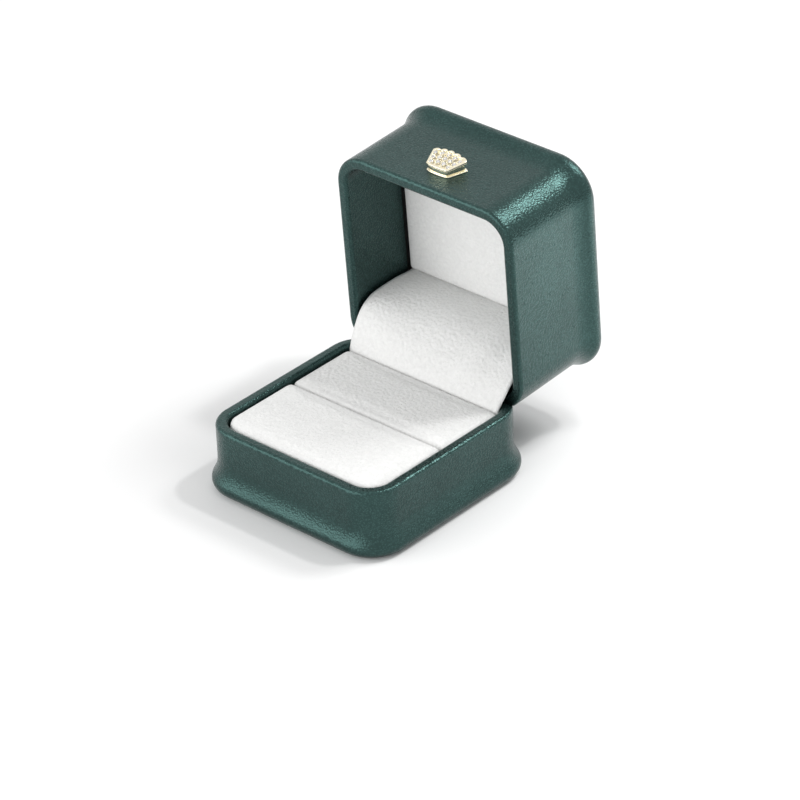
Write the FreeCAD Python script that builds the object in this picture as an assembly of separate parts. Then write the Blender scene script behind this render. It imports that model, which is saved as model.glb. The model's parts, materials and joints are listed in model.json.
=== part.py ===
"""Small leather-covered ring box with a flared foot and crown, a padded insert with a ring slot
and a lid on a concealed spring hinge. Millimetres, +Z up, front towards -Y, standing on z = 0.
The lid is drawn closed and then swung open about the hinge, which is how the box is displayed."""
import FreeCAD, Part
import math
import os

V = FreeCAD.Vector
X_AXIS = V(1, 0, 0)
Y_AXIS = V(0, 1, 0)
Z_AXIS = V(0, 0, 1)

# Outer form
PLAN = 57.0              # widest width and depth, at the flare of foot and crown
FLARE = 1.65             # how far the foot and crown stand out past the upright wall
FLARE_ROUND = 2.4        # convex radius at the edge of the foot and crown
FLARE_HOLLOW = 8.6       # concave radius that leads the upright wall into the flare
CORNER_R = 8.35          # plan radius of the upright wall's corners
BASE_H = 17.6            # floor to the base's rim
LID_H = 28.8             # the lid's rim to its top
PARTING_GAP = 0.3        # between the two rims when the box is shut

# Wall build-up
COVER_T = 0.8            # leather
SHELL_T = 1.3            # moulded shell wall
RIM_R = 0.9              # the leather's edges at the rim, either side of its flat top
FLOOR_T = 1.5            # moulded shell floor and lid top
PAD_T = 1.0              # felt under the base
PAD_PROUD = 0.2          # how far the felt stands below the leather
PAD_CLEAR = 0.2          # felt to the turned-under leather
TURN_UNDER = 4.0         # leather turned under the base, past its rounded edge
TURN_IN = 9.5            # leather turned down inside the base, from the rim

# Hinge
OPEN_ANGLE = 87.0        # the lid stands open at this angle, against the mitred rear rims
HINGE_BEHIND = 0.1       # hinge axis behind the inner face of the rear wall
HINGE_DROP = 0.5         # hinge axis below the base's rim
MITRE_GAP = 0.1          # left between the two mitred rims when the lid is open
HINGE_END = 1.5          # ends of the leaves to where the rear corners begin
MID_KNUCKLE_L = 13.4     # the lid's knuckle, between the base's two
KNUCKLE_R = 1.05
KNUCKLE_GAP = 0.3        # between neighbouring knuckles
PIN_R = 0.5
PIN_CLEAR = 0.05
PIN_HEAD_R = 0.85
PIN_HEAD_T = 0.4
PIN_END_PLAY = 0.1       # pin heads to the end knuckles
GROOVE_CLEAR = 0.35      # wall to the row of knuckles
KNUCKLE_ROOM = 0.25      # one leaf's plate to the other leaf's knuckles
LEAF_T = 0.5
LEAF_H = 8.0             # from the hinge axis to the leaf's far edge
LEAF_CORNER = 1.2
RIVET_R = 0.6
RIVET_HEAD_R = 1.1
RIVET_HEAD_T = 0.4
RIVET_TAPER = 0.6        # the head's top, as a share of its foot
RIVET_REACH = 5.0        # from the hinge axis
RIVET_END = 6.0          # outer rivets from the ends of the leaf
SPRING_W = 8.0
SPRING_T = 0.25
SPRING_KNUCKLE_GAP = 0.12
SPRING_FOOT_H = 3.4
SPRING_TIP = 0.5         # the spring ends this far above the hinge axis
SPRING_BEND_R = 1.0

# Insert in the base
BOARD_T = 1.5
BOARD_CLEAR = 0.2
CLOTH_T = 0.6
CUSHION_CLEAR = 0.35     # cushions to the walls around them
SLOT_W = 0.4
SLOT_Y = 0.4             # middle of the ring slot
FRONT_DROP = 0.1         # top of the front cushion below the rim
REAR_DROP = 0.4          # top of the rear cushion below the rim
HINGE_BAY = 3.7          # room behind the rear cushion for the flap, the spring and the leaf
SLOT_CORNER = 0.8        # corner radius of the cushions beside the slot
CUSHION_DRAW = 0.3       # the sides pull in by this half way up
CUSHION_EDGE = 0.9       # height over which the top edge rounds over
CUSHION_CROWN = 5.0      # width of the gentle slope around the top
CROWN_DOME = 0.25        # height of that slope
DOME_MIDWAY = 0.75       # share of that height reached half way in
CORNER_EASE = 0.6        # corner radii shrink by this share of the inset
CORNER_LEAST = 0.4       # and never under this share of their size
SIDE_STEPS = 4           # sections up a pad's side
EDGE_STEPS = 4           # sections round its top edge

# Lining of the lid
PANEL_T = 6.6            # thickness of the padded ceiling panel
PANEL_BACK = 10.2        # the panel stops this far in front of the rear wall
PANEL_DRAW = 0.1
PANEL_EDGE = 0.9
PANEL_CROWN = 3.0
FLAP_T = 0.7
FLAP_SIDE = 0.8          # flap to the side walls
FLAP_GAP = 0.05          # flap to the cushion and panel that it tucks behind
FLAP_TAIL = 6.5          # length tucked down behind the rear cushion
FLAP_RUN = 14.5          # straight run in front of the ceiling panel
FLAP_KNEE_R = 9.0
FLAP_FOOT_R = 2.5

# Crown ornament on the front of the lid
CROWN_UP = 5.9           # rim of the lid to the foot of the crown
CROWN_H = 4.6            # foot to the shoulder points
CROWN_RISE = 0.7         # the row of lobes rises by this in the middle
CROWN_FOOT_W = 6.6
CROWN_TOP_W = 10.2
CROWN_T = 2.0            # thickness at the foot
CROWN_TILT = 15.0        # the face leans out by this, so the top stands further from the lid
CROWN_SAG = 0.45         # the foot bows by this
CROWN_LOBES = 5
LOBE_BULGE = 0.75
CROWN_RECESS = 0.3
CROWN_RECESS_SHARE = 0.88
POST_R = 0.6
POST_CLEAR = 0.03
POST_SPAN = 1.7          # the posts, either side of the middle
POST_UP = 2.9
CLIP_R = 1.3
CLIP_T = 0.4
STONE_R = 0.58
STONE_TABLE = 0.62       # share of the stone's radius
STONE_CULET = 0.25
STONE_TOP = 0.22
STONE_DEEP = 0.42
STONE_SIDES = 8
STONE_COUNTS = (4, 5, 5)  # stones in each row, from the foot up
STONE_FOOT = 0.95        # foot of the crown to the first row
STONE_PITCH = 1.5        # row to row
STONE_MARGIN = 1.05      # sides of the crown to the end stones
STONE_BOW = 0.5          # the rows rise in the middle by this
STONE_PROUD = 0.055      # girdles above the floor of the recess

# Worked out from the sizes above
RIM = PLAN / 2 - FLARE                       # outer face of the upright wall
CORNER_C = RIM - CORNER_R                    # corner axes in plan
HINGE_L = 2 * (CORNER_C - HINGE_END)         # length of the leaves and the row of knuckles
RIVET_SPAN = HINGE_L / 2 - RIVET_END         # the outer rivets, either side of the middle one
PANEL_DEPTH = LID_H - COVER_T - FLOOR_T - BOARD_T - PANEL_T   # rim to the white ceiling panel
WALL = 2 * COVER_T + SHELL_T
INNER = RIM - WALL                           # inner face of the wall
SHELL_INNER = INNER + COVER_T
INNER_R = CORNER_R - WALL
HINGE_Y = INNER + HINGE_BEHIND
HINGE_Z = BASE_H - HINGE_DROP
LID_RIM_Z = BASE_H + PARTING_GAP
LID_TOP_Z = LID_RIM_Z + LID_H
FLOOR_Z = PAD_PROUD + COVER_T + FLOOR_T      # upper face of the base shell's floor
BOARD_TOP_Z = FLOOR_Z + BOARD_T
REAR_CUSHION_Y = INNER - HINGE_BAY
PANEL_Y = INNER - PANEL_BACK                 # rear edge of the ceiling panel, box shut
PANEL_Z = LID_RIM_Z + PANEL_DEPTH            # face of the ceiling panel, box shut
LID_BOARD_Z = LID_TOP_Z - COVER_T - FLOOR_T - BOARD_T
FAR = 2 * PLAN                               # longer than anything that is cut


def opened(y, z):
    """Where a point of the shut lid's cross-section lies once the lid stands open."""
    turn = math.radians(OPEN_ANGLE)
    dy = y - HINGE_Y
    dz = z - HINGE_Z
    return (HINGE_Y + dy * math.cos(turn) + dz * math.sin(turn),
            HINGE_Z - dy * math.sin(turn) + dz * math.cos(turn))


def open_lid(shape):
    turned = shape.copy()
    turned.rotate(V(0, HINGE_Y, HINGE_Z), X_AXIS, -OPEN_ANGLE)
    return turned


def line(a, b):
    return Part.LineSegment(a, b).toShape()


def arc(a, through, b):
    return Part.Arc(a, through, b).toShape()


def arc_about(centre, radius, start_deg, end_deg):
    """Arc in the XZ plane, angles from +X towards +Z."""
    def at(deg):
        a = math.radians(deg)
        return V(centre.x + radius * math.cos(a), 0, centre.z + radius * math.sin(a))
    return arc(at(start_deg), at((start_deg + end_deg) / 2), at(end_deg))


def solid_of(edges, sweep):
    return Part.Face(Part.Wire(edges)).extrude(sweep)


def cylinder_x(radius, x0, x1, y, z):
    return Part.makeCylinder(radius, x1 - x0, V(x0, y, z), X_AXIS)


def cylinder_y(radius, y0, y1, x, z):
    return Part.makeCylinder(radius, y1 - y0, V(x, y0, z), Y_AXIS)


def flare_side(offset, bottom_z, top_z):
    """Edges of the flared outer face, from the underside up to the upright wall's end at top_z.
    offset moves the face inwards, so each layer of the wall follows the same curve."""
    centre_z = bottom_z + FLARE_ROUND - offset
    edge_r = FLARE_ROUND - offset
    hollow_r = FLARE_HOLLOW + offset
    reach = FLARE_ROUND + FLARE_HOLLOW
    rise = math.sqrt(2 * FLARE * reach - FLARE ** 2)
    swing = math.degrees(math.asin(rise / reach))
    edge_c = V(CORNER_R + FLARE - FLARE_ROUND, 0, centre_z)
    hollow_c = V(CORNER_R + FLARE_HOLLOW, 0, centre_z + rise)
    wall_u = CORNER_R - offset
    return [arc_about(edge_c, edge_r, -90, 0),
            arc_about(edge_c, edge_r, 0, swing),
            arc_about(hollow_c, hollow_r, 180 + swing, 180),
            line(V(wall_u, 0, hollow_c.z), V(wall_u, 0, top_z))]


def around_walls(edges):
    """Carry a wall section, drawn in XZ with X measured from a corner axis, round the four sides."""
    face = Part.Face(Part.Wire(edges))
    corner = face.revolve(V(0, 0, 0), Z_AXIS, 90)
    corner.translate(V(CORNER_C, CORNER_C, 0))
    side = face.extrude(V(0, 2 * CORNER_C, 0))
    side.translate(V(CORNER_C, -CORNER_C, 0))
    pieces = []
    for quarter in range(4):
        for piece in (corner, side):
            turned = piece.copy()
            turned.rotate(V(0, 0, 0), Z_AXIS, 90 * quarter)
            pieces.append(turned)
    return pieces[0].fuse(pieces[1:]).removeSplitter()


def rounded_plate(half_x, y_low, y_high, r_low, r_high, z, height):
    return Part.Face(outline(half_x, y_low, y_high, r_low, r_high, z)).extrude(V(0, 0, height))


def outline(half_x, y_low, y_high, r_low, r_high, z):
    """Rectangle with one corner radius at its low-Y end and another at its high-Y end."""
    edges = []
    corners = ((half_x, y_low, r_low, -1), (half_x, y_high, r_high, 1),
               (-half_x, y_high, r_high, 1), (-half_x, y_low, r_low, -1))
    ends = []
    for x, y, r, toward in corners:
        side = 1 if x > 0 else -1
        centre = V(x - side * r, y - toward * r, z)
        diagonal = r / math.sqrt(2)
        along_x = V(centre.x, y, z)
        along_y = V(x, centre.y, z)
        middle = V(centre.x + side * diagonal, centre.y + toward * diagonal, z)
        first, last = (along_x, along_y) if side * toward < 0 else (along_y, along_x)
        ends.append((first, middle, last))
    for i, (first, middle, last) in enumerate(ends):
        edges.append(arc(first, middle, last))
        edges.append(line(last, ends[(i + 1) % 4][0]))
    return Part.Wire(edges)


def leather_section(height, under, leg_end_z):
    """Leather from its turned-in lower edge, up the flared face, over the rim and down inside."""
    nose_z = height - WALL / 2
    nose_c = V(CORNER_R - WALL / 2, 0, nose_z)
    foot_u = CORNER_R + FLARE - FLARE_ROUND
    inner_u = CORNER_R - WALL
    turn_z = height - RIM_R
    outer_turn = V(CORNER_R - RIM_R, 0, turn_z)
    inner_turn = V(inner_u + RIM_R, 0, turn_z)
    outer = flare_side(0, under, turn_z)
    inner = flare_side(COVER_T, under + COVER_T, nose_z)
    edges = [line(V(foot_u - TURN_UNDER, 0, under), V(foot_u, 0, under))]
    edges += outer
    edges += [arc_about(outer_turn, RIM_R, 0, 90),
              line(V(outer_turn.x, 0, height), V(inner_turn.x, 0, height)),
              arc_about(inner_turn, RIM_R, 90, 180)]
    edges += [line(V(inner_u, 0, turn_z), V(inner_u, 0, leg_end_z)),
              line(V(inner_u, 0, leg_end_z), V(inner_u + COVER_T, 0, leg_end_z)),
              line(V(inner_u + COVER_T, 0, leg_end_z), V(inner_u + COVER_T, 0, nose_z))]
    edges += [arc_about(nose_c, SHELL_T / 2, 180, 90), arc_about(nose_c, SHELL_T / 2, 90, 0)]
    edges += inner[::-1]
    edges += [line(V(foot_u, 0, under + COVER_T), V(foot_u - TURN_UNDER, 0, under + COVER_T)),
              line(V(foot_u - TURN_UNDER, 0, under + COVER_T), V(foot_u - TURN_UNDER, 0, under))]
    return edges


def shell_section(height, under):
    """Moulded wall: the leather's curve outside, upright inside, with a rounded top."""
    nose_z = height - WALL / 2
    nose_c = V(CORNER_R - WALL / 2, 0, nose_z)
    foot_u = CORNER_R + FLARE - FLARE_ROUND
    inner_u = CORNER_R - WALL + COVER_T
    low = under + COVER_T
    edges = flare_side(COVER_T, low, nose_z)
    edges += [arc_about(nose_c, SHELL_T / 2, 0, 90), arc_about(nose_c, SHELL_T / 2, 90, 180),
              line(V(inner_u, 0, nose_z), V(inner_u, 0, low)),
              line(V(inner_u, 0, low), V(foot_u, 0, low))]
    return edges


def half_box(height, under, leg_end_z, covered):
    """One leather-covered tray, rim up: the leather and the moulded shell inside it.
    covered closes the leather over the outside of the tray's floor, as on the lid."""
    leather = around_walls(leather_section(height, under, leg_end_z))
    shell = around_walls(shell_section(height, under))
    floor_half = SHELL_INNER + SHELL_T / 2
    floor_r = INNER_R + COVER_T + SHELL_T / 2
    floor = rounded_plate(floor_half, -floor_half, floor_half, floor_r, floor_r, under + COVER_T, FLOOR_T)
    shell = shell.fuse(floor).removeSplitter()
    if covered:
        sheet_half = CORNER_C + CORNER_R + FLARE - FLARE_ROUND - TURN_UNDER / 2
        sheet_r = CORNER_R + FLARE - FLARE_ROUND - TURN_UNDER / 2
        sheet = rounded_plate(sheet_half, -sheet_half, sheet_half, sheet_r, sheet_r, under, COVER_T)
        leather = leather.fuse(sheet).removeSplitter()
    return leather, shell


def mitre_block(upward, near, far):
    """Block behind the hinge axis between two planes parallel to the mitre, near and far from it.
    upward is 1 for the base, whose rim is cut from above, and -1 for the lid."""
    slope = math.radians(OPEN_ANGLE / 2)
    along = V(0, math.cos(slope), -upward * math.sin(slope))
    normal = V(0, math.sin(slope), upward * math.cos(slope))
    axis = V(-PLAN, HINGE_Y, HINGE_Z)
    inner = axis - along * WALL * 2
    outer = axis + along * WALL * 4
    points = [inner + normal * near, outer + normal * near, outer + normal * far, inner + normal * far]
    return solid_of([line(points[i], points[(i + 1) % 4]) for i in range(4)], V(FAR, 0, 0))


def mitred(leather, shell, upward):
    """Mitre the rear rim so that the lid can swing back, and carry the leather over the cut."""
    face_at = -MITRE_GAP / 2
    core_at = face_at - COVER_T
    strip = leather.fuse(shell).common(mitre_block(upward, core_at, face_at))
    away = mitre_block(upward, core_at, PLAN / 2)
    leather = leather.cut(away).fuse(strip)
    shell = shell.cut(away)
    half = HINGE_L / 2 + PIN_HEAD_T + GROOVE_CLEAR
    groove = cylinder_x(KNUCKLE_R + GROOVE_CLEAR, -half, half, HINGE_Y, HINGE_Z)
    return leather.cut(groove), shell.cut(groove)


def rivet_places():
    return (-RIVET_SPAN, 0.0, RIVET_SPAN)


def rivet_holes(z):
    return [cylinder_y(RIVET_R, INNER - LEAF_T - SPRING_T, SHELL_INNER + SHELL_T, x, z) for x in rivet_places()]


def rivets(z, washer):
    """Rivets from the leaf through leather and shell. washer is what the middle head also holds."""
    made = []
    for x in rivet_places():
        seat = INNER - LEAF_T - (washer if x == 0.0 else 0.0)
        shank = cylinder_y(RIVET_R, seat, SHELL_INNER + SHELL_T, x, z)
        head = Part.makeCone(RIVET_HEAD_R, RIVET_HEAD_R * RIVET_TAPER, RIVET_HEAD_T, V(x, seat, z), V(0, -1, 0))
        made.append(shank.fuse(head).removeSplitter())
    return Part.makeCompound(made)


def leaf(knuckle_spans, other_spans, upward):
    """Hinge leaf lying on the inner face of the rear wall, with its knuckles round the hinge axis.
    upward is 1 for the lid's leaf and -1 for the base's."""
    far_z = HINGE_Z + upward * LEAF_H
    low, high = sorted((HINGE_Z, far_z))
    plate = Part.makeBox(HINGE_L, LEAF_T, high - low, V(-HINGE_L / 2, INNER - LEAF_T, low))
    far_edges = [e for e in plate.Edges
                 if e.Length < 2 * LEAF_T and all(abs(v.Z - far_z) < LEAF_T for v in e.Vertexes)]
    plate = plate.makeFillet(LEAF_CORNER, far_edges)
    for x0, x1 in other_spans:
        room = cylinder_x(KNUCKLE_R + KNUCKLE_ROOM, x0 - KNUCKLE_GAP, x1 + KNUCKLE_GAP, HINGE_Y, HINGE_Z)
        plate = plate.cut(room)
    knuckles = [cylinder_x(KNUCKLE_R, x0, x1, HINGE_Y, HINGE_Z) for x0, x1 in knuckle_spans]
    body = plate.fuse(knuckles).removeSplitter()
    bore = cylinder_x(PIN_R + PIN_CLEAR, -HINGE_L, HINGE_L, HINGE_Y, HINGE_Z)
    return body.cut(bore)


def hinge_pin():
    reach = HINGE_L / 2 + PIN_END_PLAY
    pin = cylinder_x(PIN_R, -reach, reach, HINGE_Y, HINGE_Z)
    heads = [cylinder_x(PIN_HEAD_R, reach, reach + PIN_HEAD_T, HINGE_Y, HINGE_Z),
             cylinder_x(PIN_HEAD_R, -reach - PIN_HEAD_T, -reach, HINGE_Y, HINGE_Z)]
    return pin.fuse(heads).removeSplitter()


def bent_line(points, radii):
    """Edges of an open polyline with its inner corners rounded to the given radii."""
    edges = []
    start = points[0]
    for i in range(1, len(points) - 1):
        corner = points[i]
        back = (points[i - 1] - corner).normalize()
        on = (points[i + 1] - corner).normalize()
        half = back.getAngle(on) / 2
        reach = radii[i - 1] / math.tan(half)
        first = corner + back * reach
        last = corner + on * reach
        bisector = (back + on).normalize()
        middle = corner + bisector * (radii[i - 1] / math.sin(half) - radii[i - 1])
        edges += [line(start, first), arc(first, middle, last)]
        start = last
    edges.append(line(start, points[-1]))
    return edges


def beside(points, distance):
    """The polyline moved sideways by distance, to its left as seen from +X."""
    moved = []
    count = len(points)
    for i in range(count):
        normals = []
        for a, b in ((i - 1, i), (i, i + 1)):
            if a >= 0 and b < count:
                run = (points[b] - points[a]).normalize()
                normals.append(V(0, -run.z, run.y))
        if len(normals) == 1:
            moved.append(points[i] + normals[0] * distance)
        else:
            mean = normals[0] + normals[1]
            moved.append(points[i] + mean * (2 * distance / mean.Length ** 2))
    return moved


def bent_strip(points, radii, thickness, half_x):
    """Strip of even thickness that follows a rounded polyline in YZ, from -half_x to half_x."""
    points = [V(-half_x, y, z) for y, z in points]
    half = thickness / 2
    sides = []
    for shift in (half, -half):
        side_radii = []
        for i in range(1, len(points) - 1):
            back = points[i] - points[i - 1]
            on = points[i + 1] - points[i]
            left_turn = back.y * on.z - back.z * on.y > 0
            side_radii.append(radii[i - 1] - shift if left_turn else radii[i - 1] + shift)
        moved = beside(points, shift)
        sides.append((moved, bent_line(moved, side_radii)))
    (left, left_edges), (right, right_edges) = sides
    edges = left_edges + [line(left[-1], right[-1])] + right_edges[::-1] + [line(right[0], left[0])]
    return solid_of(edges, V(2 * half_x, 0, 0))


def hinge_spring():
    """Flat bow spring held by the middle rivet, bearing on the lid's knuckle."""
    foot_y = INNER - LEAF_T - SPRING_T / 2
    tip_y = HINGE_Y - KNUCKLE_R - SPRING_KNUCKLE_GAP - SPRING_T / 2
    rivet_z = HINGE_Z - RIVET_REACH
    foot_top = rivet_z + SPRING_FOOT_H / 2
    bow_z = HINGE_Z - KNUCKLE_R
    points = [(foot_y, rivet_z - SPRING_FOOT_H / 2), (foot_y, foot_top),
              (tip_y, (foot_top + bow_z) / 2), (tip_y, HINGE_Z + SPRING_TIP)]
    strip = bent_strip(points, (SPRING_BEND_R, SPRING_BEND_R), SPRING_T, SPRING_W / 2)
    hole = cylinder_y(RIVET_R, foot_y - SPRING_T, foot_y + SPRING_T, 0, rivet_z)
    return strip.cut(hole)


def pillow(half_x, y_low, y_high, r_low, r_high, z_low, z_high, draw, edge, crown):
    """Crowned pad with sides that pull in half way up, lofted through rounded rectangles."""
    side_h = z_high - z_low - edge - CROWN_DOME
    levels = [(side_h * i / SIDE_STEPS, draw * math.sin(math.pi * i / SIDE_STEPS)) for i in range(SIDE_STEPS)]
    for i in range(EDGE_STEPS + 1):
        turn = math.pi / 2 * i / EDGE_STEPS
        levels.append((side_h + edge * math.sin(turn), edge * (1 - math.cos(turn))))
    levels.append((side_h + edge + CROWN_DOME * DOME_MIDWAY, (edge + crown) / 2))
    levels.append((side_h + edge + CROWN_DOME, crown))
    wires = []
    for up, inset in levels:
        low = max(r_low - inset * CORNER_EASE, r_low * CORNER_LEAST)
        high = max(r_high - inset * CORNER_EASE, r_high * CORNER_LEAST)
        wires.append(outline(half_x - inset, y_low + inset, y_high - inset, low, high, z_low + up))
    return Part.makeLoft(wires, True, True)


def covered_pad(half_x, y_low, y_high, r_low, r_high, z_low, z_high, draw, edge, crown):
    """A foam pad and the cloth that wraps its top and sides."""
    whole = pillow(half_x, y_low, y_high, r_low, r_high, z_low, z_high, draw, edge, crown)
    foam = pillow(half_x - CLOTH_T, y_low + CLOTH_T, y_high - CLOTH_T,
                  max(r_low - CLOTH_T, r_low / 2), max(r_high - CLOTH_T, r_high / 2),
                  z_low, z_high - CLOTH_T, draw, edge, crown)
    return foam, whole.cut(foam)


def crown_outline():
    """Fan-shaped crown in XY, foot at y = 0, with a row of round lobes along its top."""
    foot = CROWN_FOOT_W / 2
    top = CROWN_TOP_W / 2
    points = []
    for i in range(CROWN_LOBES + 1):
        share = 2 * i / CROWN_LOBES - 1
        points.append(V(-top * share, CROWN_H + CROWN_RISE * (1 - share ** 2), 0))
    edges = [arc(V(-foot, 0, 0), V(0, -CROWN_SAG, 0), V(foot, 0, 0)), line(V(foot, 0, 0), points[0])]
    for a, b in zip(points, points[1:]):
        out = V(b.y - a.y, a.x - b.x, 0).normalize()
        edges.append(arc(a, (a + b) * 0.5 + out * LOBE_BULGE, b))
    edges.append(line(points[-1], V(-foot, 0, 0)))
    return Part.Wire(edges)


def stone(x, y, z):
    """Faceted stone with its girdle at height z."""
    rings = []
    for up, share in ((-STONE_DEEP, STONE_CULET), (0, 1.0), (STONE_TOP, STONE_TABLE)):
        corners = []
        for i in range(STONE_SIDES + 1):
            a = 2 * math.pi * (i + 0.5) / STONE_SIDES
            corners.append(V(x + STONE_R * share * math.cos(a), y + STONE_R * share * math.sin(a), z + up))
        rings.append(Part.makePolygon(corners))
    return Part.makeLoft(rings, True, True)


def tilted(shape):
    """Lean a shape drawn for a level crown out with the crown's face."""
    leaning = shape.copy()
    leaning.rotate(V(0, 0, CROWN_T), X_AXIS, CROWN_TILT)
    return leaning


def crown_stones():
    girdle = CROWN_T - CROWN_RECESS + STONE_PROUD
    stones = []
    for row, count in enumerate(STONE_COUNTS):
        up = STONE_FOOT + row * STONE_PITCH
        width = CROWN_FOOT_W + (CROWN_TOP_W - CROWN_FOOT_W) * up / CROWN_H - 2 * STONE_MARGIN
        for i in range(count):
            x = width * (i / (count - 1) - 0.5)
            lift = STONE_BOW * (1 - (2 * x / width) ** 2)
            stones.append(tilted(stone(x, up + lift, girdle)))
    return stones


def crown_ornament(stones):
    wire = crown_outline()
    tall = CROWN_T + CROWN_TOP_W
    above = Part.makeBox(2 * CROWN_TOP_W, 2 * CROWN_TOP_W, tall, V(-CROWN_TOP_W, -CROWN_TOP_W, CROWN_T))
    body = Part.Face(wire).extrude(V(0, 0, tall)).cut(tilted(above))
    inner = wire.copy()
    inner.scale(CROWN_RECESS_SHARE, V(0, (CROWN_H + CROWN_RISE) / 2, 0))
    above.translate(V(0, 0, -CROWN_RECESS))
    recess = Part.Face(inner).extrude(V(0, 0, tall)).common(tilted(above))
    body = body.cut(recess)
    for seat in stones:
        body = body.cut(seat)
    reach = COVER_T + SHELL_T
    posts = [Part.makeCylinder(POST_R, reach, V(x, POST_UP, -reach)) for x in (-POST_SPAN, POST_SPAN)]
    return body.fuse(posts)


def crown_clips():
    clips = []
    for x in (-POST_SPAN, POST_SPAN):
        low = V(x, POST_UP, -COVER_T - SHELL_T)
        ring = Part.makeCylinder(CLIP_R, CLIP_T, low)
        clips.append(ring.cut(Part.makeCylinder(POST_R, CLIP_T, low)))
    return clips


def post_holes():
    """What the crown's posts and clips take out of the lid's front wall, in the crown's own frame."""
    reach = COVER_T + SHELL_T
    holes = []
    pockets = []
    for x in (-POST_SPAN, POST_SPAN):
        holes.append(Part.makeCylinder(POST_R + POST_CLEAR, reach, V(x, POST_UP, -reach)))
        pockets.append(Part.makeCylinder(CLIP_R, CLIP_T, V(x, POST_UP, -reach)))
    return holes, pockets


def on_lid_front(shapes):
    """Stand shapes drawn face up in XY on the shut lid's front wall."""
    placed = []
    for shape in shapes:
        moved = shape.copy()
        moved.rotate(V(0, 0, 0), X_AXIS, 90)
        moved.translate(V(0, -RIM, LID_RIM_Z + CROWN_UP))
        placed.append(moved)
    return placed


def rim_down(shape):
    """Turn a tray drawn rim up into the shut lid."""
    moved = shape.copy()
    moved.rotate(V(0, 0, 0), X_AXIS, 180)
    moved.translate(V(0, 0, LID_TOP_Z))
    return moved


def hinge_flap():
    """White flap from behind the rear cushion, over the hinge, to behind the ceiling panel."""
    tail_y = REAR_CUSHION_Y + FLAP_GAP + FLAP_T / 2
    panel_y = PANEL_Y + FLAP_GAP + FLAP_T / 2
    crease_z = BASE_H - REAR_DROP
    seam = opened(panel_y, PANEL_Z)
    end = opened(panel_y, LID_BOARD_Z - FLAP_GAP)
    length = math.hypot(end[0] - seam[0], end[1] - seam[1])
    knee = (seam[0] - (end[0] - seam[0]) / length * FLAP_RUN, seam[1] - (end[1] - seam[1]) / length * FLAP_RUN)
    points = [(tail_y, crease_z - FLAP_TAIL), (tail_y, crease_z), knee, end]
    return bent_strip(points, (FLAP_FOOT_R, FLAP_KNEE_R), FLAP_T, INNER - FLAP_SIDE)


def base_parts():
    leather, shell = half_box(BASE_H, PAD_PROUD, BASE_H - TURN_IN, False)
    leather, shell = mitred(leather, shell, 1)
    holes = rivet_holes(HINGE_Z - RIVET_REACH)
    pad_half = CORNER_C + CORNER_R + FLARE - FLARE_ROUND - TURN_UNDER - PAD_CLEAR
    pad_r = CORNER_R + FLARE - FLARE_ROUND - TURN_UNDER - PAD_CLEAR
    board_half = SHELL_INNER - BOARD_CLEAR
    board_r = INNER_R + COVER_T - BOARD_CLEAR
    cushion_half = INNER - CUSHION_CLEAR
    cushion_r = INNER_R - CUSHION_CLEAR
    front_foam, front_cover = covered_pad(
        cushion_half, -cushion_half, SLOT_Y - SLOT_W / 2, cushion_r, SLOT_CORNER,
        BOARD_TOP_Z, BASE_H - FRONT_DROP, CUSHION_DRAW, CUSHION_EDGE, CUSHION_CROWN)
    rear_foam, rear_cover = covered_pad(
        cushion_half, SLOT_Y + SLOT_W / 2, REAR_CUSHION_Y, SLOT_CORNER, SLOT_CORNER,
        BOARD_TOP_Z, BASE_H - REAR_DROP, CUSHION_DRAW, CUSHION_EDGE, CUSHION_CROWN)
    mid = MID_KNUCKLE_L / 2
    end = HINGE_L / 2
    side_spans = ((-end, -mid - KNUCKLE_GAP), (mid + KNUCKLE_GAP, end))
    return {
        "base_shell": shell.cut(holes),
        "base_cover": leather.cut(holes),
        "bottom_pad": rounded_plate(pad_half, -pad_half, pad_half, pad_r, pad_r, 0, PAD_T),
        "cushion_board": rounded_plate(board_half, -board_half, board_half, board_r, board_r, FLOOR_Z, BOARD_T),
        "front_cushion_foam": front_foam,
        "front_cushion_cover": front_cover,
        "rear_cushion_foam": rear_foam,
        "rear_cushion_cover": rear_cover,
        "hinge_base_leaf": leaf(side_spans, ((-mid, mid),), -1).cut(holes),
        "hinge_base_rivets": rivets(HINGE_Z - RIVET_REACH, SPRING_T),
        "hinge_pin": hinge_pin(),
        "hinge_spring": hinge_spring(),
    }


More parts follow.
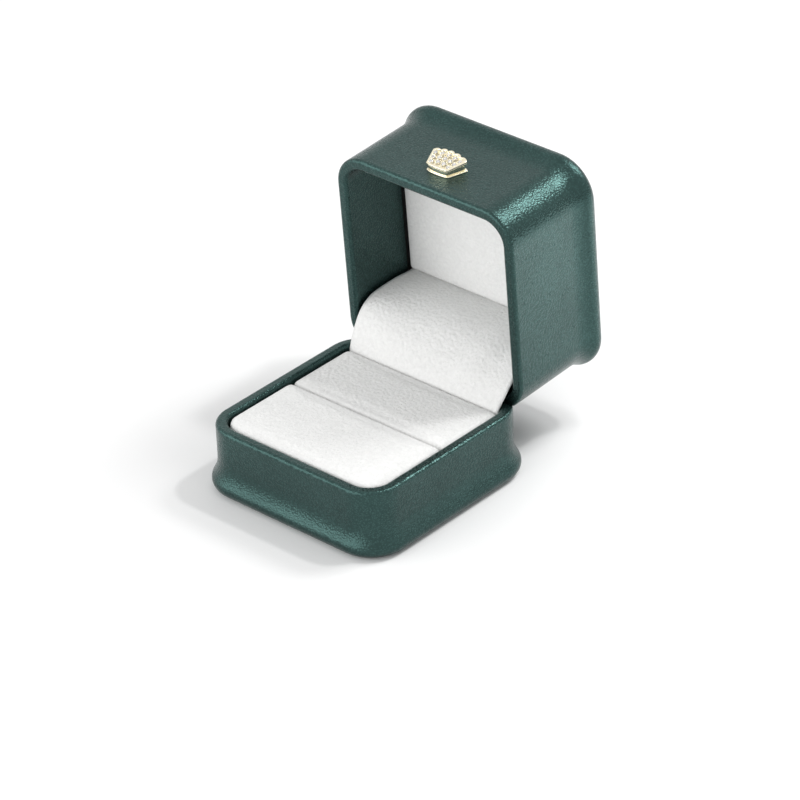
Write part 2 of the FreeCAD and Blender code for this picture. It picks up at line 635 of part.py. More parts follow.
def lid_parts():
    """The lid's pieces with the box shut."""
    leather, shell = half_box(LID_H, 0, LID_H - PANEL_DEPTH, True)
    leather, shell = mitred(rim_down(leather), rim_down(shell), -1)
    rivet_cuts = rivet_holes(HINGE_Z + RIVET_REACH)
    holes, pockets = post_holes()
    holes = on_lid_front(holes)
    pockets = on_lid_front(pockets)
    board_half = SHELL_INNER - BOARD_CLEAR
    board_r = INNER_R + COVER_T - BOARD_CLEAR
    board = rounded_plate(board_half, -board_half, board_half, board_r, board_r, COVER_T + FLOOR_T, BOARD_T)
    panel_half = INNER - CUSHION_CLEAR
    panel_r = INNER_R - CUSHION_CLEAR
    foam, cover = covered_pad(
        panel_half, -PANEL_Y, panel_half, SLOT_CORNER, panel_r,
        COVER_T + FLOOR_T + BOARD_T, LID_H - PANEL_DEPTH, PANEL_DRAW, PANEL_EDGE, PANEL_CROWN)
    mid = MID_KNUCKLE_L / 2
    end = HINGE_L / 2
    side_spans = ((-end, -mid - KNUCKLE_GAP), (mid + KNUCKLE_GAP, end))
    stones = crown_stones()
    crown = on_lid_front([crown_ornament(stones)])[0]
    return {
        "lid_shell": shell.cut(rivet_cuts + holes + pockets),
        "lid_cover": leather.cut(rivet_cuts + holes),
        "lid_panel_board": rim_down(board),
        "lid_panel_foam": rim_down(foam),
        "lid_panel_cover": rim_down(cover),
        "hinge_lid_leaf": leaf(((-mid, mid),), side_spans, 1).cut(rivet_cuts),
        "hinge_lid_rivets": rivets(HINGE_Z + RIVET_REACH, 0.0),
        "crown_ornament": crown,
        "crown_stones": Part.makeCompound(on_lid_front(stones)),
        "crown_clips": Part.makeCompound(on_lid_front(crown_clips())),
    }


def main():
    parts = base_parts()
    for name, shape in lid_parts().items():
        parts[name] = open_lid(shape)
    parts["hinge_flap"] = hinge_flap()
    os.makedirs("parts", exist_ok=True)
    for name, shape in parts.items():
        shape.exportStep(f"parts/{name}.step")
        print(f"{name}: {len(shape.Solids)} solids, {shape.Volume / 1000:.3f} cm3, valid {shape.isValid()}")


main()
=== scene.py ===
"""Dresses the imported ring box: leather over the two trays, white suede cushions, ceiling panel and hinge
flap, a gilt crown set with clear stones, and a pale studio. Metres, +Z up, front towards -Y, lid open."""

import json
import math

import bmesh
import bpy
from mathutils import Matrix, Vector, noise


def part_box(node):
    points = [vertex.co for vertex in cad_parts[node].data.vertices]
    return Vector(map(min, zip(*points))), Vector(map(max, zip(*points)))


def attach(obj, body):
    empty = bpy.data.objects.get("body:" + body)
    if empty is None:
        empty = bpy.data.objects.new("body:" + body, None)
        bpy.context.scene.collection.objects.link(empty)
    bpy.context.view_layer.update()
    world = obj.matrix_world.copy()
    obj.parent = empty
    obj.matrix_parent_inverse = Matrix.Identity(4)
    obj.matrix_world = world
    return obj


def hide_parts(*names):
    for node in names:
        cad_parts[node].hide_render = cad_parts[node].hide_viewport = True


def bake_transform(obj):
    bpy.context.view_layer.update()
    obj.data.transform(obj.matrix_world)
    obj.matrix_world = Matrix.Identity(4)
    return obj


bl_info = {
    "name": "Leather ring box",
    "version": (1, 0, 0),
    "blender": (4, 5, 0),
    "location": "View3D > Sidebar > Ring Box",
    "description": "Leather, suede insert, gilt crown and studio for a small hinged ring box",
    "category": "Object",
}

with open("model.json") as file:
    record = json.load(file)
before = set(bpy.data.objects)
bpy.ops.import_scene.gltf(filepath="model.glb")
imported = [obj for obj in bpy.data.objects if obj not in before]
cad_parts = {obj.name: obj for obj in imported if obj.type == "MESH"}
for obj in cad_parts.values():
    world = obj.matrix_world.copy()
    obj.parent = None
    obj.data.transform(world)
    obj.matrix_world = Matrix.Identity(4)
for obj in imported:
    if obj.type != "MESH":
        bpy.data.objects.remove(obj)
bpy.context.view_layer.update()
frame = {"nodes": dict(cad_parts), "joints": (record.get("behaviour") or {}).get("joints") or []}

MM = 0.001
IMAGE_SIDE = 800
SENSOR_MM = 36.0
HINGE = frame["joints"][0]
HINGE_AT = Vector(HINGE["pos_m"])
OPEN_ANGLE = math.radians(HINGE["range_deg"][1])
OPENING = (Matrix.Translation(HINGE_AT) @ Matrix.Rotation(-OPEN_ANGLE, 4, "X")
           @ Matrix.Translation(-HINGE_AT))
SHUTTING = OPENING.inverted()


def shut_box(node):
    """Lowest and highest corners of a lid node with the box shut."""
    points = [SHUTTING @ v.co for v in frame["nodes"][node].data.vertices]
    low = Vector([min(p[i] for p in points) for i in range(3)])
    high = Vector([max(p[i] for p in points) for i in range(3)])
    return low, high


class LeatherSettings(bpy.types.PropertyGroup):
    """Pearlescent dark green leather of the two trays."""
    colour: bpy.props.FloatVectorProperty(
        name="Colour", description="Colour of the leather", subtype="COLOR", default=(0.045, 0.091, 0.085),
        min=0.0, max=1.0)
    pearl: bpy.props.FloatProperty(
        name="Pearl", description="Share of metallic pearl in the finish", subtype="FACTOR", default=0.8,
        min=0.0, max=1.0)
    grain: bpy.props.FloatProperty(
        name="Grain", description="Width of one pebble of the grain", unit="LENGTH", default=0.42 * MM)
    relief: bpy.props.FloatProperty(
        name="Relief", description="Depth of the grain", unit="LENGTH", default=0.085 * MM)


class SuedeSettings(bpy.types.PropertyGroup):
    """White suede of the cushions, the ceiling panel and the hinge flap."""
    colour: bpy.props.FloatVectorProperty(
        name="Colour", description="Colour of the suede", subtype="COLOR", default=(0.87, 0.87, 0.86),
        min=0.0, max=1.0)
    nap: bpy.props.FloatProperty(
        name="Nap", description="Width of one mottle of the nap", unit="LENGTH", default=0.9 * MM)
    swell: bpy.props.FloatProperty(
        name="Swell", description="How far the cushions may swell", unit="LENGTH", default=0.2 * MM)
    voxel: bpy.props.FloatProperty(
        name="Voxel", description="Mesh size of the padded pieces", unit="LENGTH", default=0.5 * MM)


class CrownSettings(bpy.types.PropertyGroup):
    """Gilt crown on the lid."""
    colour: bpy.props.FloatVectorProperty(
        name="Gilt", description="Colour of the gilt", subtype="COLOR", default=(0.90, 0.83, 0.64),
        min=0.0, max=1.0)
    thickness: bpy.props.FloatProperty(
        name="Thickness", description="Thickness at the crown's foot", unit="LENGTH", default=2.3 * MM)
    border: bpy.props.FloatProperty(
        name="Border", description="Height of the raised border round the stones", unit="LENGTH",
        default=0.3 * MM)
    edge: bpy.props.FloatProperty(
        name="Edge", description="Rounding of the crown's edges", unit="LENGTH", default=0.14 * MM)
    bead: bpy.props.FloatProperty(
        name="Bead", description="Radius of the beads that hold the stones", unit="LENGTH",
        default=0.15 * MM)


class StudioSettings(bpy.types.PropertyGroup):
    """Camera, floor and lights."""
    azimuth: bpy.props.FloatProperty(
        name="Azimuth", description="Camera to the right of the front", subtype="ANGLE",
        default=math.radians(42.97))
    elevation: bpy.props.FloatProperty(
        name="Elevation", description="Camera above the floor", subtype="ANGLE", default=math.radians(31.53))
    roll: bpy.props.FloatProperty(
        name="Roll", description="Camera turned about its own line of sight", subtype="ANGLE",
        default=math.radians(-2.4))
    distance: bpy.props.FloatProperty(
        name="Distance", description="Camera to the point that it looks at", unit="LENGTH", default=1.0)
    focal_px: bpy.props.FloatProperty(
        name="Focal length", description="In pixels of the picture", default=4322.15)
    target: bpy.props.FloatVectorProperty(
        name="Target", description="Point in the middle of the picture", subtype="TRANSLATION",
        default=(0.0054, 0.00653, 0.020))
    floor: bpy.props.FloatVectorProperty(
        name="Floor", description="Colour of the floor", subtype="COLOR", default=(0.88, 0.88, 0.88),
        min=0.0, max=1.0)
    key: bpy.props.FloatProperty(
        name="Key", description="Power of the small lamp overhead, behind to the right", unit="POWER",
        default=1.3)
    front: bpy.props.FloatProperty(
        name="Front", description="Power of the wide lamp in front", unit="POWER", default=5.7)
    gleam: bpy.props.FloatProperty(
        name="Gleam", description="Power of the soft lamp behind to the right", unit="POWER", default=1.7)
    back: bpy.props.FloatProperty(
        name="Back", description="Power of the lamp over the floor behind", unit="POWER", default=0.165)
    sky: bpy.props.FloatProperty(name="Sky", description="Strength of the even light", default=0.70)


def new_finish(name, colour, roughness, metallic=0.0):
    """A material with the constants of its shader set, and its shader."""
    finish = bpy.data.materials.new(name)
    finish.use_nodes = True
    shader = finish.node_tree.nodes["Principled BSDF"]
    shader.inputs["Base Color"].default_value = (*colour, 1.0)
    shader.inputs["Roughness"].default_value = roughness
    shader.inputs["Metallic"].default_value = metallic
    return finish, shader


def add_node(finish, kind, inputs=None, **settings):
    """A shader node with its settings, and then its inputs, set by name."""
    made = finish.node_tree.nodes.new(kind)
    for name, value in settings.items():
        setattr(made, name, value)
    for name, value in (inputs or {}).items():
        made.inputs[name].default_value = value
    return made


def join(finish, output, target):
    finish.node_tree.links.new(output, target)


def on_object(finish, texture):
    """Lay a texture on the piece's own coordinates."""
    place = add_node(finish, "ShaderNodeTexCoord")
    join(finish, place.outputs["Object"], texture.inputs["Vector"])
    return texture


def noise_on(finish, size, detail=3.0, roughness=0.5):
    """Cloudy noise with features of a size."""
    return on_object(finish, add_node(finish, "ShaderNodeTexNoise", {
        "Scale": 1.0 / size, "Detail": detail, "Roughness": roughness}))


def cells_on(finish, size, softness):
    """Rounded cells of a size, lowest at their middles."""
    return on_object(finish, add_node(finish, "ShaderNodeTexVoronoi", {
        "Scale": 1.0 / size, "Smoothness": softness}, feature="SMOOTH_F1"))


def spread(finish, source, to, span=(0.0, 1.0)):
    """Carry a span of a texture over to another range."""
    ranged = add_node(finish, "ShaderNodeMapRange", {
        "From Min": span[0], "From Max": span[1], "To Min": to[0], "To Max": to[1]})
    join(finish, source, ranged.inputs["Value"])
    return ranged.outputs["Result"]


# The colour sockets of a Mix node, which share their names with others of the node
MIX_COLOURS = (6, 7)
MIX_RESULT = 2


def blend_tones(finish, factor, colour, tones):
    """Blend between a darker and a lighter tone of a colour."""
    mix = add_node(finish, "ShaderNodeMix", data_type="RGBA")
    for socket, tone in zip(MIX_COLOURS, tones):
        mix.inputs[socket].default_value = (*[c * tone for c in colour], 1.0)
    join(finish, factor, mix.inputs["Factor"])
    return mix.outputs[MIX_RESULT]


def add_sum(finish, first, second, share):
    """One texture plus a share of another."""
    total = add_node(finish, "ShaderNodeMath", operation="MULTIPLY_ADD")
    total.inputs[1].default_value = share
    join(finish, second, total.inputs[0])
    join(finish, first, total.inputs[2])
    return total.outputs["Value"]


def raise_surface(finish, shader, height, depth):
    """Give a surface a relief of a depth."""
    bump = add_node(finish, "ShaderNodeBump", {"Strength": 1.0, "Distance": depth})
    join(finish, height, bump.inputs["Height"])
    join(finish, bump.outputs["Normal"], shader.inputs["Normal"])


# Most of a noise texture lies in the narrow span, and nearly all of it in the wide one
NOISE_CORE = (0.35, 0.65)
NOISE_SPAN = (0.3, 0.7)
DULL_SPECULAR = 0.25
LEATHER_ROUGHNESS = (0.2, 0.28)
# Leather tones: the dark one is painted shade in the creases between pebbles and the light one is painted
# light on their crests; random patches shift between them too
LEATHER_SHADE_AND_PATCH_TONES = (0.68, 1.2)
LEATHER_PATCH = 14 * MM
PATCH_SHIFT = 0.12
PEBBLE_SOFTNESS = 0.35
CREASE_SHADE_SPAN = (0.05, 0.55)
PORE_SPACING = 2.2
PORE_SHARE = 0.12


def leather_finish(settings):
    """Pebbles with painted shade, darker in the creases between them and lighter on their crests; shallow
    pores, and a faint patchiness.
    """
    finish, shader = new_finish("green_leather", settings.colour, LEATHER_ROUGHNESS[1], settings.pearl)
    shader.inputs["Specular IOR Level"].default_value = DULL_SPECULAR
    pebbles = cells_on(finish, settings.grain, PEBBLE_SOFTNESS)
    pores = noise_on(finish, settings.grain * PORE_SPACING, detail=2.0, roughness=0.45)
    pitted = spread(finish, pores.outputs["Fac"], (0.0, PORE_SHARE))
    raise_surface(finish, shader, add_sum(finish, pitted, pebbles.outputs["Distance"], -1.0), settings.relief)
    patches = noise_on(finish, LEATHER_PATCH)
    # Painted shade and light: creases between the pebbles darker and crests lighter, as a shaded cavity would
    # look
    painted_crease_shade = spread(finish, pebbles.outputs["Distance"], (1.0, 0.0), CREASE_SHADE_SPAN)
    shift = spread(finish, patches.outputs["Fac"], (-PATCH_SHIFT, PATCH_SHIFT), NOISE_CORE)
    tone = blend_tones(finish, add_sum(finish, painted_crease_shade, shift, 1.0), settings.colour, LEATHER_SHADE_AND_PATCH_TONES)
    join(finish, tone, shader.inputs["Base Color"])
    polish = spread(finish, pores.outputs["Fac"], LEATHER_ROUGHNESS, NOISE_SPAN)
    join(finish, polish, shader.inputs["Roughness"])
    return finish


SUEDE_ROUGHNESS = 0.92
SUEDE_SHEEN = 0.15
SHEEN_ROUGHNESS = 0.6
SUEDE_TONES = (0.93, 1.0)
MOTTLE_SPAN = (0.34, 0.66)
DENT_SPACING = 0.95
DENT_SOFTNESS = 0.6
DENT_SHARE = 0.7
FIBRE_SPACING = 0.16
FIBRE_SHARE = 0.35
NAP_RELIEF = 0.23 * MM


def suede_finish(settings):
    """A mottled nap with fine fibres and shallow dents."""
    finish, shader = new_finish("white_suede", settings.colour, SUEDE_ROUGHNESS)
    shader.inputs["Specular IOR Level"].default_value = DULL_SPECULAR
    shader.inputs["Sheen Weight"].default_value = SUEDE_SHEEN
    shader.inputs["Sheen Roughness"].default_value = SHEEN_ROUGHNESS
    dents = cells_on(finish, settings.nap * DENT_SPACING, DENT_SOFTNESS)
    mottle = noise_on(finish, settings.nap, detail=5.0, roughness=0.62)
    fibres = noise_on(finish, settings.nap * FIBRE_SPACING, detail=2.0)
    nap = add_sum(finish, mottle.outputs["Fac"], fibres.outputs["Fac"], FIBRE_SHARE)
    raise_surface(finish, shader, add_sum(finish, nap, dents.outputs["Distance"], -DENT_SHARE), NAP_RELIEF)
    light = spread(finish, mottle.outputs["Fac"], (0.0, 1.0), MOTTLE_SPAN)
    join(finish, blend_tones(finish, light, settings.colour, SUEDE_TONES), shader.inputs["Base Color"])
    return finish


def clouded_metal(name, colour, cloud, roughness, detail=3.0):
    """Bare metal whose polish varies between two roughnesses."""
    finish, shader = new_finish(name, colour, sum(roughness) / 2, metallic=1.0)
    clouds = noise_on(finish, cloud, detail)
    join(finish, spread(finish, clouds.outputs["Fac"], roughness, NOISE_SPAN), shader.inputs["Roughness"])
    return finish


STONE_COLOUR = (0.97, 0.97, 0.98)
STONE_ROUGHNESS = 0.02
STONE_CLEARNESS = 0.7
STONE_IOR = 1.9


def stone_finish():
    """Clear paste with a bright sparkle."""
    finish, shader = new_finish("clear_stone", STONE_COLOUR, STONE_ROUGHNESS)
    shader.inputs["Transmission Weight"].default_value = STONE_CLEARNESS
    shader.inputs["IOR"].default_value = STONE_IOR
    return finish


def plain_finish(name, colour, roughness, grain, depth, contrast):
    """Felt, card and moulded plastic: a mottled colour and a low relief."""
    finish, shader = new_finish(name, colour, roughness)
    speck = noise_on(finish, grain, detail=4.0, roughness=0.6)
    light = spread(finish, speck.outputs["Fac"], (0.0, 1.0), NOISE_SPAN)
    tone = blend_tones(finish, light, colour, (1.0 - contrast, 1.0 + contrast))
    join(finish, tone, shader.inputs["Base Color"])
    raise_surface(finish, shader, speck.outputs["Fac"], depth)
    return finish


def wear(node, finish):
    """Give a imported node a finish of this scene."""
    node_mesh = frame["nodes"][node].data
    node_mesh.materials.clear()
    node_mesh.materials.append(finish)


def suede():
    """The one suede that the padded pieces and the flap share."""
    kept = bpy.data.materials.get("box_white_suede")
    if kept is None:
        kept = suede_finish(bpy.context.scene.ring_box_suede)
        kept.name = "box_white_suede"
    return kept


def new_piece(name, bm, finish):
    """An object at the origin that holds a finished bmesh."""
    mesh = bpy.data.meshes.new(name)
    bm.to_mesh(mesh)
    bm.free()
    for face in mesh.polygons:
        face.use_smooth = True
    mesh.materials.append(finish)
    piece = bpy.data.objects.new(name, mesh)
    bpy.context.scene.collection.objects.link(piece)
    return piece


def add_subdivision(piece, levels):
    smooth = piece.modifiers.new("smooth", "SUBSURF")
    smooth.levels = levels
    smooth.render_levels = levels


# What picks out the edges of a block: least height of an upright one, and how near an end or the top counts
UPRIGHT_LEAST = MM
END_REACH = MM / 2
TOP_REACH = MM / 100
CORNER_SEGMENTS = 8
ROLL_SEGMENTS = 5


def corner_edges(bm, y):
    """The upright edges at one end of a block."""
    upright = [e for e in bm.edges if abs(e.verts[0].co.z - e.verts[1].co.z) > UPRIGHT_LEAST]
    return [e for e in upright if all(abs(v.co.y - y) < END_REACH for v in e.verts)]


def pad_block(low, high, front_r, rear_r, edge):
    """A block with rounded corners and a rolled upper edge."""
    bm = bmesh.new()
    bmesh.ops.create_cube(bm, size=1.0)
    bmesh.ops.scale(bm, vec=high - low, verts=bm.verts)
    bmesh.ops.translate(bm, vec=(low + high) / 2, verts=bm.verts)
    for y, radius in ((low.y, front_r), (high.y, rear_r)):
        bmesh.ops.bevel(bm, geom=corner_edges(bm, y), offset=radius, offset_type="OFFSET",
                        segments=CORNER_SEGMENTS, profile=0.5, affect="EDGES", material=-1)
    rim = [e for e in bm.edges if all(v.co.z > high.z - TOP_REACH for v in e.verts)]
    bmesh.ops.bevel(bm, geom=rim, offset=edge, offset_type="OFFSET", segments=ROLL_SEGMENTS,
                    profile=0.5, affect="EDGES", material=-1)
    bmesh.ops.recalc_face_normals(bm, faces=bm.faces)
    return bm


# The cloth is blown up at ten times its size, where the solver is steady
SIM_SCALE = 10.0
SIM_FRAMES = 20
SIM_PRESSURE = 4.0
SMOOTH_PASSES = 4
SMOOTH_FACTOR = 0.5


def evaluated_mesh(piece):
    """A new mesh of a piece with its modifiers applied."""
    graph = bpy.context.evaluated_depsgraph_get()
    return bpy.data.meshes.new_from_object(piece.evaluated_get(graph))


def blown_up(work, held_height):
    """Where a piece's vertices lie after a cloth simulation under pressure, with its underside held."""
    heights = [v.co.z for v in work.data.vertices]
    floor_z = min(heights)
    held = work.vertex_groups.new(name="held")
    held.add([i for i, z in enumerate(heights) if z < floor_z + held_height], 1.0, "REPLACE")
    cloth = work.modifiers.new("cloth", "CLOTH")
    cloth.settings.vertex_group_mass = "held"
    cloth.settings.use_pressure = True
    cloth.settings.uniform_pressure_force = SIM_PRESSURE
    cloth.settings.effector_weights.gravity = 0.0
    cloth.point_cache.frame_start = 1
    cloth.point_cache.frame_end = SIM_FRAMES
    for step in range(1, SIM_FRAMES + 1):
        bpy.context.scene.frame_set(step)
    after = [v.co.copy() for v in evaluated_mesh(work).vertices]
    bpy.context.scene.frame_set(1)
    work.modifiers.clear()
    return after


def swollen(bm, voxel, swell, side_swell):
    """Remesh a block finely, let it swell up to its limits, and smooth it."""
    bmesh.ops.scale(bm, vec=Vector((1, 1, 1)) * SIM_SCALE, verts=bm.verts)
    mesh = bpy.data.meshes.new("pad_work")
    bm.to_mesh(mesh)
    bm.free()
    work = bpy.data.objects.new("pad_work", mesh)
    bpy.context.scene.collection.objects.link(work)
    remesh = work.modifiers.new("remesh", "REMESH")
    remesh.mode = "VOXEL"
    remesh.voxel_size = voxel * SIM_SCALE
    work.data = evaluated_mesh(work)
    work.modifiers.clear()
    before = [v.co.copy() for v in work.data.vertices]
    after = blown_up(work, voxel * SIM_SCALE)
    done = bmesh.new()
    done.from_mesh(work.data)
    done.verts.ensure_lookup_table()
    limit = Vector((side_swell, side_swell, swell)) * SIM_SCALE
    for v, start, end in zip(done.verts, before, after):
        v.co = start + Vector([max(-m, min(m, d)) for m, d in zip(limit, end - start)])
    for _ in range(SMOOTH_PASSES):
        bmesh.ops.smooth_vert(done, verts=done.verts, factor=SMOOTH_FACTOR, use_axis_x=True, use_axis_y=True,
                              use_axis_z=True)
    bmesh.ops.scale(done, vec=Vector((1, 1, 1)) / SIM_SCALE, verts=done.verts)
    bpy.data.objects.remove(work)
    return done


def padded_piece(name, bm, body, nodes):
    """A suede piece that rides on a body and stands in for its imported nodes."""
    piece = new_piece(name, bm, suede())
    add_subdivision(piece, 1)
    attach(piece, body)
    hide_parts(*nodes)
    return piece


class RINGBOX_OT_trays(bpy.types.Operator):
    """Finish the leather of the base and the lid, and the moulded trays under it"""
    bl_idname = "ring_box.trays"
    bl_label = "Leather trays"

    def execute(self, context):
        leather = leather_finish(context.scene.ring_box_leather)
        plastic = plain_finish("shell_plastic", colour=(0.03, 0.032, 0.032), roughness=0.55, grain=0.4 * MM,
                               depth=0.02 * MM, contrast=0.15)
        felt = plain_finish("dark_felt", colour=(0.02, 0.035, 0.03), roughness=0.95, grain=0.3 * MM,
                            depth=0.08 * MM, contrast=0.3)
        card = plain_finish("grey_card", colour=(0.27, 0.25, 0.21), roughness=0.9, grain=0.5 * MM,
                            depth=0.02 * MM, contrast=0.12)
        for node, finish in (("base_cover", leather), ("lid_cover", leather), ("base_shell", plastic),
                             ("lid_shell", plastic), ("bottom_pad", felt), ("cushion_board", card),
                             ("lid_panel_board", card)):
            wear(node, finish)
        return {"FINISHED"}


class RINGBOX_OT_hinge(bpy.types.Operator):
    """Finish the steel of the concealed hinge and the crown's clips"""
    bl_idname = "ring_box.hinge"
    bl_label = "Hinge"

    def execute(self, context):
        steel = clouded_metal("hinge_steel", colour=(0.60, 0.60, 0.61), cloud=0.5 * MM,
                              roughness=(0.26, 0.44), detail=4.0)
        for node in ("hinge_base_leaf", "hinge_base_rivets", "hinge_pin", "hinge_spring", "hinge_lid_leaf",
                     "hinge_lid_rivets", "crown_clips"):
            wear(node, steel)
        return {"FINISHED"}


# Corner radii of the pads: in the tray's rounded corners, and along the slot and the hinge
TRAY_CORNER = 5.1 * MM
SLOT_CORNER = 0.8 * MM
PAD_ROLL = 0.7 * MM
CUSHION_SIDE_SWELL = 0.08 * MM
PANEL_SWELL = 0.15 * MM
PANEL_SIDE_SWELL = 0.05 * MM


class RINGBOX_OT_cushions(bpy.types.Operator):
    """Make the two cushions with the slot between them"""
    bl_idname = "ring_box.cushions"
    bl_label = "Cushions"

    def execute(self, context):
        settings = context.scene.ring_box_suede
        rise = Vector((0, 0, settings.swell))
        for side, front_corner in (("front", TRAY_CORNER), ("rear", SLOT_CORNER)):
            low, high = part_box(side + "_cushion_cover")
            block = pad_block(Vector(low), Vector(high) - rise, front_corner, SLOT_CORNER, PAD_ROLL)
            bm = swollen(block, settings.voxel, settings.swell, CUSHION_SIDE_SWELL)
            padded_piece(side + "_cushion", bm, "base",
                         (side + "_cushion_cover", side + "_cushion_foam"))
        return {"FINISHED"}


class RINGBOX_OT_ceiling(bpy.types.Operator):
    """Make the padded panel that lines the top of the lid"""
    bl_idname = "ring_box.ceiling"
    bl_label = "Ceiling panel"

    def execute(self, context):
        settings = context.scene.ring_box_suede
        low, high = shut_box("lid_panel_cover")
        turned_low = Vector((low.x, -high.y, -high.z))
        turned_high = Vector((high.x, -low.y, -low.z))
        block = pad_block(turned_low, turned_high, SLOT_CORNER, TRAY_CORNER, PAD_ROLL)
        bm = swollen(block, settings.voxel, PANEL_SWELL, PANEL_SIDE_SWELL)
        bmesh.ops.transform(bm, matrix=OPENING @ Matrix.Rotation(math.pi, 4, "X"), verts=bm.verts)
        padded_piece("ceiling_panel", bm, "lid", ("lid_panel_cover", "lid_panel_foam"))
        return {"FINISHED"}


# The flap's bow between its crease and its seam, as shares of that run, at its two side edges
FLAP_LEFT = ((0.077, 0.37), (0.19, 0.71), (0.353, 0.93), (0.534, 1.01), (0.742, 1.03))
FLAP_RIGHT = ((0.118, 0.25), (0.244, 0.49), (0.398, 0.77), (0.57, 0.945), (0.756, 1.01))
FLAP_T = 0.6 * MM
FLAP_TUCK = 0.4 * MM
FLAP_TAIL = 6.0 * MM
FLAP_TURN = FLAP_TAIL / 3
FLAP_SET_BACK = 0.2 * MM
FLAP_STEPS_ACROSS = 60
FLAP_STEPS_ALONG = 90
# Each crease: where it leaves the seam across the flap, its slant, its width as a share, and its depth
FLAP_CREASES = ((0.50, 0.34, 0.06, -0.4 * MM), (0.66, 0.32, 0.06, 0.4 * MM), (0.82, 0.18, 0.05, -0.35 * MM))
FLAP_FREE = 0.22
FLAP_FACING = Vector((0.6, 0.8))
FLAP_SWAY = 0.6 * MM
FLAP_SWAYS = 3.0


def flap_edge(bow):
    """Points of one side edge of the flap in YZ, from its tail in the base to its tail in the lid."""
    cushion_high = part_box("rear_cushion_cover")[1]
    panel_low, panel_high = shut_box("lid_panel_cover")
    tail_y = cushion_high[1] + FLAP_TUCK
    crease = Vector((0, tail_y, cushion_high[2]))
    seam = OPENING @ Vector((0, panel_high.y + FLAP_TUCK, panel_low.z))
    end = OPENING @ Vector((0, panel_high.y + FLAP_TUCK, panel_high.z - FLAP_TUCK))
    run = seam - crease
    points = [(tail_y, crease.z - FLAP_TAIL), (tail_y, crease.z - FLAP_TURN)]
    points += [(crease.y + FLAP_SET_BACK, crease.z)]
    points += [(crease.y + run.y * y, crease.z + run.z * z) for y, z in bow]
    points += [(seam.y, seam.z), (end.y, end.z)]
    return points


def on_curve(points, share):
    """Point at a share of the way along a smooth curve through the points."""
    spans = len(points) - 1
    at = min(int(share * spans), spans - 1)
    t = share * spans - at
    before = points[max(at - 1, 0)]
    start = points[at]
    end = points[at + 1]
    after = points[min(at + 2, spans)]
    out = []
    for p0, p1, p2, p3 in zip(before, start, end, after):
        out.append(0.5 * (2 * p1 + (p2 - p0) * t + (2 * p0 - 5 * p1 + 4 * p2 - p3) * t ** 2
                          + (3 * p1 - p0 - 3 * p2 + p3) * t ** 3))
    return out


def flap_rumple(across, along):
    """How far the slack flap stands off its smooth curve: soft creases that run down to its left."""
    free = max(0.0, math.sin(math.pi * (along - FLAP_FREE) / (1 - FLAP_FREE)))
    total = 0.0
    for start, slant, width, depth in FLAP_CREASES:
        off = (across - start - slant * (along - FLAP_FREE)) / width
        total += depth * math.exp(-off * off)
    sway = noise.noise(Vector((across, along, 0)) * FLAP_SWAYS)
    return free * (total + FLAP_SWAY * sway)


class RINGBOX_OT_flap(bpy.types.Operator):
    """Make the suede flap that hides the hinge"""
    bl_idname = "ring_box.flap"
    bl_label = "Hinge flap"

    def execute(self, context):
        low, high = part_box("hinge_flap")
        bm = bmesh.new()
        bmesh.ops.create_grid(bm, x_segments=FLAP_STEPS_ACROSS, y_segments=FLAP_STEPS_ALONG, size=0.5)
        left_edge = flap_edge(FLAP_LEFT)
        right_edge = flap_edge(FLAP_RIGHT)
        for v in bm.verts:
            across = v.co.x + 0.5
            along = v.co.y + 0.5
            left = on_curve(left_edge, along)
            right = on_curve(right_edge, along)
            y = left[0] + (right[0] - left[0]) * across
            z = left[1] + (right[1] - left[1]) * across
            rumple = flap_rumple(across, along)
            v.co = Vector((low[0] + (high[0] - low[0]) * across, y - rumple * FLAP_FACING.x,
                           z + rumple * FLAP_FACING.y))
        bmesh.ops.recalc_face_normals(bm, faces=bm.faces)
        area = sum(f.calc_area() for f in bm.faces)
        flap = new_piece("suede_flap", bm, suede())
        thick = flap.modifiers.new("thick", "SOLIDIFY")
        thick.thickness = FLAP_T
        thick.offset = 0.0
        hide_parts("hinge_flap")
        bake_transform(flap)
        return {"FINISHED"}


CROWN_FOOT = 3.3 * MM
CROWN_SHOULDER = 5.1 * MM
CROWN_H = 4.6 * MM
CROWN_RISE = 0.7 * MM
CROWN_SAG = 0.45 * MM
CROWN_LOBES = 5
CROWN_TILT = math.radians(11.9)
CROWN_POST = 2.1 * MM
CROWN_BED = 0.82
CROWN_WAIST = 0.90
CROWN_PLINTH = 0.34 * MM
CROWN_SHELF = 1.7 * MM
CROWN_DROOP = 0.4 * MM
LOBE_BULGE = 0.55 * MM
HANDLE_REACH = 4 / 3
HANDLE_INSET = 0.2
STONE_ROUND = 0.60 * MM
STONE_TABLE = 0.36 * MM
STONE_TOP = 0.24 * MM
STONE_DEEP = 0.42 * MM
STONE_POINT = STONE_TABLE / 6
STONE_SIDES = 8
STONE_BEADS = 4
BEAD_LIFT = 0.15
BEAD_SUBDIVISIONS = 2
OUTLINE_STEPS = 6
EDGE_STEPS = 2
WELD_GAP = MM / 1000


def crown_place():
    """From the crown's own frame, face up with its foot at the origin, to the open lid."""
    low, high = shut_box("crown_ornament")
    seat = Matrix.Translation((0, high.y - CROWN_POST, low.z + CROWN_SAG))
    return OPENING @ seat @ Matrix.Rotation(math.pi / 2, 4, "X")


